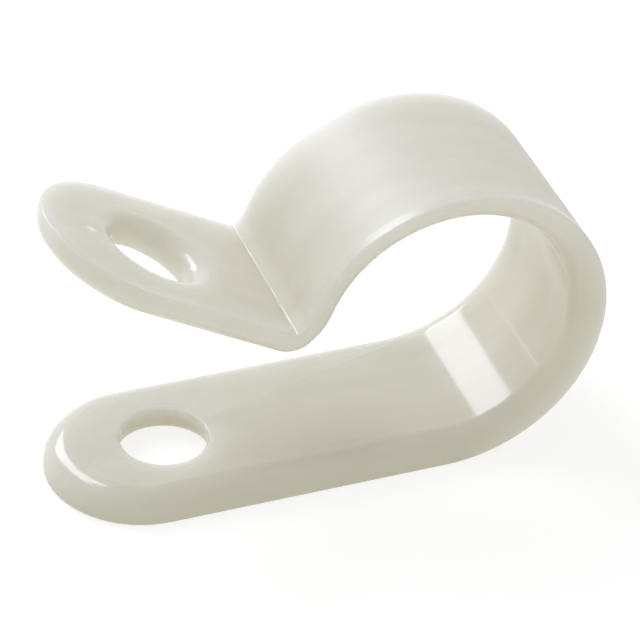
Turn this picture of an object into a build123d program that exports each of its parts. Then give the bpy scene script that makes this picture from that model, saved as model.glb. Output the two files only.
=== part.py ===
from build123d import *
import os
from math import cos, radians, sin, sqrt, tan

# Screw mount cable clamp: one strap of natural nylon, moulded open, with a screw hole in each leg.
# Millimetres, +Z up. The origin is the centre of the lower screw hole on the mounting face, which
# is the underside of the lower leg. +X runs along that leg to the loop, and Y is across the strap.

# Driving sizes
STRAP_WIDTH = 9.5
WALL = 1.5
CABLE_BORE = 12.7  # inside diameter of the loop as moulded
LOWER_LEG_LENGTH = 18.9  # from its tip to where the loop starts
UPPER_LEG_LENGTH = 13.3  # from its tip to the fold, on the cable side
RAMP_LENGTH = 2.3  # short straight between the loop and the fold, on the cable side

# Turns of the strap, in degrees
LOOP_TURN = 255.5
KNEE_TURN = 34.0  # the strap turns back out of the loop into the ramp
FOLD_TURN = 70.8  # the ramp turns back into the upper leg

# Screw holes
SCREW_HOLE_DIAMETER = 4.3  # clears an M4 or a No. 8 screw
LOWER_HOLE_TO_TIP = 5.9
UPPER_HOLE_TO_TIP = 6.0
OUTER_RIM_RADIUS = 0.8  # wide rounding on the outer face, where the screw enters and leaves
CABLE_RIM_BEVEL = 0.12

# Edges and corners
EDGE_LAND = 0.1  # flat left on the strap's edge, between the rounding and the bevel
OUTER_EDGE_BEVEL = 0.12
CREASE_RADIUS = 0.2  # inside of the fold, on the outer face
KNEE_SHARE = 0.45  # of the ramp's cable side that the knee's bend takes up
FOLD_SHARE = 0.5  # of the ramp's cable side that the fold's bend takes up
OUTER_KNEE_SHARE = 0.6  # of the ramp's outer face that the knee's bend takes up

# Worked out from the driving sizes
EDGE_ROUNDING = WALL - EDGE_LAND - OUTER_EDGE_BEVEL  # of the edges that the cable touches
BORE_RADIUS = CABLE_BORE / 2
OUTER_RADIUS = BORE_RADIUS + WALL
LOWER_TIP_X = -LOWER_HOLE_TO_TIP
LOOP_X = LOWER_TIP_X + LOWER_LEG_LENGTH
LOOP_CENTRE = Vector(LOOP_X, 0, WALL + BORE_RADIUS)
RAMP_HEADING = LOOP_TURN - KNEE_TURN
UPPER_HEADING = RAMP_HEADING - FOLD_TURN
HOLE_DEPTH = 4 * WALL  # more than the wall, so that the holes go right through


def heading(degrees):
    """Direction in the XZ plane in which the strap runs, where 0 is +X."""
    return Vector(cos(radians(degrees)), 0, sin(radians(degrees)))


def outward(degrees):
    """Direction from the cable side to the outer face, where the strap has this heading."""
    return Vector(sin(radians(degrees)), 0, -cos(radians(degrees)))


def leave_loop(start, direction):
    """Point where a line that starts inside the loop's outer circle crosses it."""
    offset = start - LOOP_CENTRE
    along = offset.dot(direction)
    return start + direction * (sqrt(along**2 - offset.dot(offset) + OUTER_RADIUS**2) - along)


# Corners of the cable side, then of the outer face, which lies one wall further out
KNEE = LOOP_CENTRE + outward(LOOP_TURN) * BORE_RADIUS
FOLD = KNEE + heading(RAMP_HEADING) * RAMP_LENGTH
UPPER_TIP = FOLD + heading(UPPER_HEADING) * UPPER_LEG_LENGTH
LOOP_START = Vector(LOOP_X, 0, WALL)
LOWER_TIP = Vector(LOWER_TIP_X, 0, WALL)
MITRE = WALL / (1 + cos(radians(FOLD_TURN)))
OUTER_FOLD = FOLD + (outward(RAMP_HEADING) + outward(UPPER_HEADING)) * MITRE
OUTER_KNEE = leave_loop(KNEE + outward(RAMP_HEADING) * WALL, heading(RAMP_HEADING))
OUTER_UPPER_TIP = UPPER_TIP + outward(UPPER_HEADING) * WALL
OUTER_LOOP_START = Vector(LOOP_X, 0, 0)
OUTER_LOWER_TIP = Vector(LOWER_TIP_X, 0, 0)

# Frames on the outer face at the tips: x runs up the leg from its tip, and z points outward
LOWER_TIP_FRAME = Plane(origin=OUTER_LOWER_TIP, x_dir=heading(0), z_dir=outward(0))
UPPER_TIP_FRAME = Plane(
    origin=OUTER_UPPER_TIP,
    x_dir=heading(UPPER_HEADING) * -1,
    z_dir=outward(UPPER_HEADING),
)


def side_line(lower_tip, loop_start, radius, knee, fold, upper_tip):
    """One side of the strap seen from its edge: lower leg, loop, ramp and upper leg."""
    top_of_loop = LOOP_CENTRE + outward(LOOP_TURN / 2) * radius
    return Wire(
        [
            Edge.make_line(lower_tip, loop_start),
            Edge.make_three_point_arc(loop_start, top_of_loop, knee),
            Edge.make_line(knee, fold),
            Edge.make_line(fold, upper_tip),
        ]
    )


CABLE_LINE = side_line(LOWER_TIP, LOOP_START, BORE_RADIUS, KNEE, FOLD, UPPER_TIP)
OUTER_LINE = side_line(
    OUTER_LOWER_TIP, OUTER_LOOP_START, OUTER_RADIUS, OUTER_KNEE, OUTER_FOLD, OUTER_UPPER_TIP
)


def square_strap():
    """The bent strap at full width, with square ends and edges and sharp bends."""
    lower_end = Edge.make_line(OUTER_LOWER_TIP, LOWER_TIP)
    upper_end = Edge.make_line(OUTER_UPPER_TIP, UPPER_TIP)
    outline = Wire(CABLE_LINE.edges() + OUTER_LINE.edges() + [lower_end, upper_end])
    return extrude(Face(outline), amount=STRAP_WIDTH / 2, dir=(0, 1, 0), both=True)


def bend_radius(length, turn):
    """Radius of a bend that uses this length of the straight beside it."""
    return length / tan(radians(turn) / 2)


def round_bend(body, corner, radius):
    """Round the crosswise edge that passes through a corner of the side view."""
    edge = body.edges().filter_by(Axis.Y).sort_by_distance(corner)[0]
    return fillet(edge, radius)


def round_tip(body, tip_frame):
    """Trim a square leg end to a half circle as wide as the strap."""
    half_width = STRAP_WIDTH / 2
    square = Pos(half_width / 2, 0) * Rectangle(half_width, STRAP_WIDTH)
    corners = square - Pos(half_width, 0) * Circle(half_width)
    return body - extrude(tip_frame * corners, amount=HOLE_DEPTH / 2, both=True)


def long_edges(body, line):
    """Edges along the strap and round its tips that belong to one side of it."""

    def beside(point):
        return line.distance_to(Vector(point.X, 0, point.Z)) < WALL / 2

    crosswise = body.edges().filter_by(Axis.Y)
    lengthwise = [edge for edge in body.edges() if edge not in crosswise]
    return [edge for edge in lengthwise if all(beside(edge @ share) for share in (0, 0.5, 1))]


def rim(body, centre):
    """The edge of a screw hole that is centred on this point, which is the smallest circle there."""
    circles = body.edges().filter_by(GeomType.CIRCLE)
    near_centre = circles.filter_by(lambda edge: (edge.arc_center - centre).length < WALL / 4)
    return near_centre.sort_by(SortBy.RADIUS)[0]


def screw_hole(body, tip_frame, distance):
    """Open a hole in a leg at this distance from its tip and finish both of its rims."""
    hole_frame = tip_frame * Pos(distance, 0, 0)
    outer_centre = hole_frame.position
    cable_centre = outer_centre - tip_frame.z_dir * WALL
    body = body - hole_frame * Cylinder(SCREW_HOLE_DIAMETER / 2, HOLE_DEPTH)
    body = fillet(rim(body, outer_centre), OUTER_RIM_RADIUS)
    return chamfer(rim(body, cable_centre), CABLE_RIM_BEVEL)


def clamp():
    """The whole moulding."""
    body = square_strap()
    outer_ramp = (OUTER_FOLD - OUTER_KNEE).length
    body = round_bend(body, KNEE, bend_radius(KNEE_SHARE * RAMP_LENGTH, KNEE_TURN))
    body = round_bend(body, FOLD, bend_radius(FOLD_SHARE * RAMP_LENGTH, FOLD_TURN))
    body = round_bend(body, OUTER_KNEE, bend_radius(OUTER_KNEE_SHARE * outer_ramp, KNEE_TURN))
    body = round_bend(body, OUTER_FOLD, CREASE_RADIUS)
    body = round_tip(body, LOWER_TIP_FRAME)
    body = round_tip(body, UPPER_TIP_FRAME)
    body = fillet(long_edges(body, CABLE_LINE), EDGE_ROUNDING)
    body = chamfer(long_edges(body, OUTER_LINE), OUTER_EDGE_BEVEL)
    body = screw_hole(body, LOWER_TIP_FRAME, LOWER_HOLE_TO_TIP)
    return screw_hole(body, UPPER_TIP_FRAME, UPPER_HOLE_TO_TIP)


os.makedirs("parts", exist_ok=True)
export_step(clamp(), "parts/clamp.step")
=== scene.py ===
from math import pi, radians

import bpy
from mathutils import Matrix, Vector


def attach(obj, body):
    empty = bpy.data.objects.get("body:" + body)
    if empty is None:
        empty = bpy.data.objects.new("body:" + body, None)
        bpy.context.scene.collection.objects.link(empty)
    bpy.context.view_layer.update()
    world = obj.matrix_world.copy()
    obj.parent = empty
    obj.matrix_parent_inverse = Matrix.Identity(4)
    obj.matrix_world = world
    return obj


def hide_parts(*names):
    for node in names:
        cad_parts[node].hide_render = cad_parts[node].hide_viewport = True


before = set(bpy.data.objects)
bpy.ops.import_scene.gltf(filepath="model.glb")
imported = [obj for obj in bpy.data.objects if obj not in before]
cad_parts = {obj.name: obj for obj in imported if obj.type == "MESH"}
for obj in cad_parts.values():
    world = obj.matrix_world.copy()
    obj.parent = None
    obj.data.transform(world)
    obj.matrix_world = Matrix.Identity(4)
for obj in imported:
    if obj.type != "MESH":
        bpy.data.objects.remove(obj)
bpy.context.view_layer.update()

# Clamp: one strap of natural nylon 6/6, injection moulded in its open shape. Nothing is fixed to
# it. The steel that forms the cable side is polished, so the bore and the inner faces of both legs
# are glossy, and the outer faces come from fine spark-eroded steel and are satin.
INSIDE_LOOP = Vector((0.0085, 0.0, 0.0050))  # the ramp and the loop face away from this point
HOLES = [  # a screw hole's centre on the outer face, and the way out through it
    (Vector((0.0, 0.0, 0.0)), Vector((0.0, 0.0, -1.0))),
    (Vector((-0.0005, 0.0, 0.0128)), Vector((0.4894, 0.0, 0.8721))),
]
HOLE_REACH = 0.0023  # from a hole's axis to just past its wall
LEG_REACH = 0.0063  # from a hole's centre to just past the leg's tip
CREASE = Vector((0.00493, 0.0, 0.0098))  # inside of the fold, on the outer face
CREASE_REACH = 0.00018  # from there to just past the crease's own faces
IN_SIDE_VIEW = Vector((1.0, 0.0, 1.0))  # leaves out the place across the strap
OUTWARD = 0.1  # a face belongs to the outer side from this cosine to the way out
SAME_CORNER = 1e-6  # corners of the CAD mesh that are closer than this are one
SAME_FLAT = radians(0.2)  # facets that turn by less than this are one
QUAD_TURN = radians(1)  # two triangles that turn by less than this make one four-sided face,
ANY_QUAD_SHAPE = radians(180)  # whatever its corners
SHARP = radians(60)  # edges that turn by more than this stay sharp


def add_object(name, data):
    """New object in the scene that holds a mesh, a lamp or a camera."""
    made = bpy.data.objects.new(name, data)
    bpy.context.scene.collection.objects.link(made)
    return made


clamp = add_object("clamp_moulding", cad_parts["clamp"].data.copy())
bpy.ops.object.select_all(action="DESELECT")
clamp.select_set(True)
bpy.context.view_layer.objects.active = clamp
bpy.ops.object.mode_set(mode="EDIT")
bpy.ops.mesh.select_all(action="SELECT")
bpy.ops.mesh.remove_doubles(threshold=SAME_CORNER)
bpy.ops.mesh.dissolve_limited(angle_limit=SAME_FLAT)
bpy.ops.mesh.select_all(action="SELECT")
bpy.ops.mesh.tris_convert_to_quads(face_threshold=QUAD_TURN, shape_threshold=ANY_QUAD_SHAPE)
bpy.ops.object.mode_set(mode="OBJECT")
bpy.ops.object.shade_smooth_by_angle(angle=SHARP)
even = clamp.modifiers.new("even normals on flats", "WEIGHTED_NORMAL")
even.keep_sharp = True
bpy.ops.object.modifier_apply(modifier=even.name)


def grain(centre, normal):
    """How much of the satin grain a face of the mesh has, from 0 to 1."""
    if ((centre - CREASE) * IN_SIDE_VIEW).length < CREASE_REACH:
        return 0.0
    for hole, way_out in HOLES:
        offset = centre - hole
        if offset.length < LEG_REACH:
            in_hole = offset.cross(way_out).length < HOLE_REACH
            return float(in_hole or normal.dot(way_out) > OUTWARD)
    away = (centre - INSIDE_LOOP) * IN_SIDE_VIEW
    return float(normal.dot(away.normalized()) > OUTWARD)


grained = clamp.data.attributes.new("grained", "FLOAT", "FACE")
for face, share in zip(clamp.data.polygons, grained.data):
    share.value = grain(face.center, face.normal)


def linear(hex_colour):
    """sRGB hex colour as linear RGBA."""
    channels = [int(hex_colour[i : i + 2], 16) / 255 for i in (1, 3, 5)]
    return [c / 12.92 if c <= 0.04045 else ((c + 0.055) / 1.055) ** 2.4 for c in channels] + [1]


def empty_tree(owner):
    """Node tree of a new material or world, with no nodes in it."""
    owner.use_nodes = True
    owner.node_tree.nodes.clear()
    return owner.node_tree


def add_node(tree, kind, links_and_values, **settings):
    """One shader node with its settings, and a link or a value for each socket named."""
    made = tree.nodes.new(kind)
    for name, setting in settings.items():
        setattr(made, name, setting)
    for socket, value in links_and_values.items():
        if isinstance(value, bpy.types.NodeSocket):
            tree.links.new(value, made.inputs[socket])
        else:
            made.inputs[socket].default_value = value
    return made


nylon = bpy.data.materials.new("natural nylon, injection moulded")
tree = empty_tree(nylon)
place = add_node(tree, "ShaderNodeTexCoord", {}).outputs["Object"]

# Satin on the outer side: the steel's grain is worn thinner round the holes and along the strap's
# near edge, where the photo shows a brighter band, and the crease of the fold has none.
NEAR_MARGIN = -0.0040  # Y of the line where the worn margin along the near edge starts
MARGIN_FADE = 0.0003  # from that line to where the grain is at its weakest
RIM_FADE = (0.0022, 0.0044)  # from a hole's axis to the weakest grain, and to the full grain
GRAIN_LEFT = 0.4  # share of the grain where it is weakest
POLISHED, SPARK_ERODED = 0.12, 0.46  # roughness that each finish of the steel leaves

outer_face = add_node(tree, "ShaderNodeAttribute", {}, attribute_name="grained")
across_strap = add_node(tree, "ShaderNodeSeparateXYZ", {0: place}).outputs["Y"]
worn = [(across_strap, NEAR_MARGIN - MARGIN_FADE, NEAR_MARGIN)]
for centre, way_out in HOLES:
    offset = add_node(tree, "ShaderNodeVectorMath", {0: place, 1: centre}, operation="SUBTRACT")
    off_axis = add_node(
        tree, "ShaderNodeVectorMath", {0: offset.outputs[0], 1: way_out}, operation="CROSS_PRODUCT"
    )
    from_axis = add_node(tree, "ShaderNodeVectorMath", {0: off_axis.outputs[0]}, operation="LENGTH")
    worn.append((from_axis.outputs["Value"], *RIM_FADE))
satin = outer_face.outputs["Fac"]
for measure, weakest, full in worn:
    left = add_node(
        tree,
        "ShaderNodeMapRange",
        {"Value": measure, "From Min": weakest, "From Max": full, "To Min": GRAIN_LEFT},
        interpolation_type="SMOOTHSTEP",
    )
    satin = add_node(
        tree, "ShaderNodeMath", {0: satin, 1: left.outputs[0]}, operation="MULTIPLY"
    ).outputs[0]
roughness = add_node(
    tree, "ShaderNodeMapRange", {"Value": satin, "To Min": POLISHED, "To Max": SPARK_ERODED}
)

# Colour: nylon is a milky, warm grey white, and it is never quite even, because it takes up
# moisture and sets at a different rate along the flow. The flow draws its patches out along the
# strap to about 5 mm, which is three times their width.
PATCH_LENGTH = 0.005
DRAWN_OUT = 3.0

along_flow = add_node(
    tree, "ShaderNodeMapping", {"Vector": place, "Scale": (1.0, DRAWN_OUT, 1.0)}
).outputs[0]
patches = add_node(
    tree, "ShaderNodeTexNoise", {"Vector": along_flow, "Scale": 1 / PATCH_LENGTH, "Detail": 2.0}
)
milky = add_node(
    tree,
    "ShaderNodeMix",
    {"Factor": patches.outputs[0], "A": linear("#d0cfc0"), "B": linear("#e1dbd2")},
    data_type="RGBA",
)

# Gate mark: the nylon came in through a pin point on the upper leg. It is cut off flush there,
# Painted highlight: a whiter spot about half a millimetre across, painted on the upper leg's outer
# face where a small glint of light shows. It stands in for that glint.
GLINT_SPOT = (-0.0036, 0.0, 0.01454)  # on the outer face
GLINT_EDGE, GLINT_CORE = 0.00034, 0.0001  # radii where the spot's colour starts, and where it is full

from_glint = add_node(tree, "ShaderNodeVectorMath", {0: place, 1: GLINT_SPOT}, operation="DISTANCE")
painted_glint = add_node(
    tree,
    "ShaderNodeMapRange",
    {"Value": from_glint.outputs["Value"], "From Min": GLINT_EDGE, "From Max": GLINT_CORE},
    interpolation_type="SMOOTHSTEP",
)
# the painted highlight is mixed into the body's colour here
body_colour = add_node(
    tree,
    "ShaderNodeMix",
    {"Factor": painted_glint.outputs[0], "A": milky.outputs["Result"], "B": linear("#f6f4f0")},
    data_type="RGBA",
)

# Surface: the pits of the spark-eroded steel on the satin faces, drawn at 0.15 mm so that they
# show at all, and the slight sink of a moulding that cools from outside, 0.02 mm over 8 mm.
PIT_WIDTH, PIT_DEPTH = 0.00015, 0.000002
SINK_LENGTH, SINK_DEPTH = 0.008, 0.00002

pits = add_node(
    tree, "ShaderNodeTexNoise", {"Vector": place, "Scale": 1 / PIT_WIDTH, "Detail": 1.0}
)
pits_in_satin = add_node(
    tree, "ShaderNodeMath", {0: pits.outputs[0], 1: satin}, operation="MULTIPLY"
)
sink = add_node(
    tree, "ShaderNodeTexNoise", {"Vector": along_flow, "Scale": 1 / SINK_LENGTH, "Detail": 0.0}
)
relief = add_node(
    tree, "ShaderNodeBump", {"Height": sink.outputs[0], "Strength": 1.0, "Distance": SINK_DEPTH}
)
relief = add_node(
    tree,
    "ShaderNodeBump",
    {
        "Height": pits_in_satin.outputs[0],
        "Strength": 1.0,
        "Distance": PIT_DEPTH,
        "Normal": relief.outputs[0],
    },
)

# Body: light spreads a few millimetres through nylon, and blue light least, so thin edges glow and
# shaded faces stay warm and pale. The subsurface scale is how far red light gets, in metres.
surface = add_node(
    tree,
    "ShaderNodeBsdfPrincipled",
    {
        "Base Color": body_colour.outputs["Result"],
        "Roughness": roughness.outputs[0],
        "IOR": 1.53,
        "Subsurface Weight": 1.0,
        "Subsurface Radius": (1.0, 0.97, 0.90),
        "Subsurface Scale": 0.0035,
        "Normal": relief.outputs[0],
    },
)
add_node(tree, "ShaderNodeOutputMaterial", {"Surface": surface.outputs[0]})
clamp.data.materials.clear()
clamp.data.materials.append(nylon)
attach(clamp, "root")
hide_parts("clamp")

# Table: a sheet of opal acrylic that the clamp stands on, lit a little from below, so the nylon
# glows on its underside too. The camera, mirrored rays and rays through glass see it all but
# white, with the clamp's soft shadow.
TABLE_WIDTH = 4
TABLE_GAP = 0.00002  # under the clamp, so that the two don't share a plane
GLOW = 0.21
WHITE, WHITE_SHARE = 1.3, 0.6  # how strong the white is, and how much of what is seen it makes up


def by_ray(tree, lighting, seen):
    """Shader that lights the clamp in one way and is seen, also in gloss and glass, in another."""
    ray = add_node(tree, "ShaderNodeLightPath", {})
    straight = ray.outputs["Is Camera Ray"]
    for other in ("Is Glossy Ray", "Is Transmission Ray"):
        straight = add_node(
            tree, "ShaderNodeMath", {0: straight, 1: ray.outputs[other]}, use_clamp=True
        ).outputs[0]
    both = {0: straight, 1: lighting.outputs[0], 2: seen.outputs[0]}
    return add_node(tree, "ShaderNodeMixShader", both).outputs[0]


bpy.ops.object.select_all(action="DESELECT")
bpy.ops.mesh.primitive_plane_add(size=TABLE_WIDTH, location=(0, 0, -TABLE_GAP))
table = bpy.context.object
table.name = "table"
opal = bpy.data.materials.new("opal acrylic, lit from below")
tree = empty_tree(opal)
top = add_node(tree, "ShaderNodeBsdfDiffuse", {"Color": linear("#e7e6e2")})
glow = add_node(tree, "ShaderNodeEmission", {"Color": linear("#fffad4"), "Strength": GLOW})
lit_sheet = add_node(tree, "ShaderNodeAddShader", {0: top.outputs[0], 1: glow.outputs[0]})
white = add_node(tree, "ShaderNodeEmission", {"Strength": WHITE})
whitened = add_node(
    tree, "ShaderNodeMixShader", {0: WHITE_SHARE, 1: top.outputs[0], 2: white.outputs[0]}
)
add_node(tree, "ShaderNodeOutputMaterial", {"Surface": by_ray(tree, lit_sheet, whitened)})
table.data.materials.append(opal)

# Studio light: an upright softbox beyond the clamp to the left, seen as the bright window in the
# polished bore, and a small lamp low beside it, seen as the faint streak to the window's right.
# The room round them is an even white.
SUBJECT = Vector((0.0135, 0.0, 0.008))
LAMP_DISTANCE = 0.50
TO_SOFTBOX = Vector((-0.28, 0.68, 0.675)).normalized()
TO_SMALL_LAMP = Vector((-0.667, 0.722, 0.172)).normalized()
ROOM_LIGHT = 0.535  # that the white walls give, while they are seen at a full 1


def stand_lamp(lamp, direction, turn):
    """Put a lamp off in this direction from the subject, turned so that its front faces it."""
    stand = Matrix.Translation(SUBJECT + direction * LAMP_DISTANCE)
    add_object(lamp.name, lamp).matrix_world = stand @ turn.to_4x4()


softbox = bpy.data.lights.new("softbox", "AREA")
softbox.shape = "RECTANGLE"
softbox.size = 0.208
softbox.size_y = 0.42
softbox.energy = 1.5
softbox.color = linear("#ebf1ff")[:3]
across = (Vector((1, 0, 0)) - TO_SOFTBOX * TO_SOFTBOX.x).normalized()
up = across.cross(-TO_SOFTBOX)
stand_lamp(softbox, TO_SOFTBOX, Matrix((across, up, across.cross(up))).transposed())

small_lamp = bpy.data.lights.new("strip lamp", "AREA")
small_lamp.size = 0.012
small_lamp.energy = 0.002
stand_lamp(small_lamp, TO_SMALL_LAMP, TO_SMALL_LAMP.to_track_quat("Z", "Y").to_matrix())

room = bpy.data.worlds.new("white room")
bpy.context.scene.world = room
tree = empty_tree(room)
wall_white = linear("#ffffff")
walls = add_node(tree, "ShaderNodeBackground", {"Color": wall_white, "Strength": ROOM_LIGHT})
seen_walls = add_node(tree, "ShaderNodeBackground", {"Color": wall_white, "Strength": 1.0})
add_node(tree, "ShaderNodeOutputWorld", {"Surface": by_ray(tree, walls, seen_walls)})

# Camera: above and in front of the legs, looking down at the clamp from the side of its mouth
# through a long lens.
AIM = Vector((0.0071097, -0.0020068, 0.0082701))
AZIMUTH = radians(-21.6056)
ELEVATION = radians(36.5801)
ROLL = radians(2.2305)
CAMERA_DISTANCE = 0.18387
lens = bpy.data.cameras.new("camera")
lens.sensor_width = 36
lens.lens = 217.52
lens.clip_start = 0.01
camera = add_object("camera", lens)
camera.matrix_world = (
    Matrix.Translation(AIM)
    @ Matrix.Rotation(AZIMUTH, 4, "Z")
    @ Matrix.Rotation(pi / 2 - ELEVATION, 4, "X")
    @ Matrix.Rotation(ROLL, 4, "Z")
    @ Matrix.Translation((0, 0, CAMERA_DISTANCE))
)
bpy.context.scene.camera = camera
bpy.context.scene.view_settings.view_transform = "Standard"
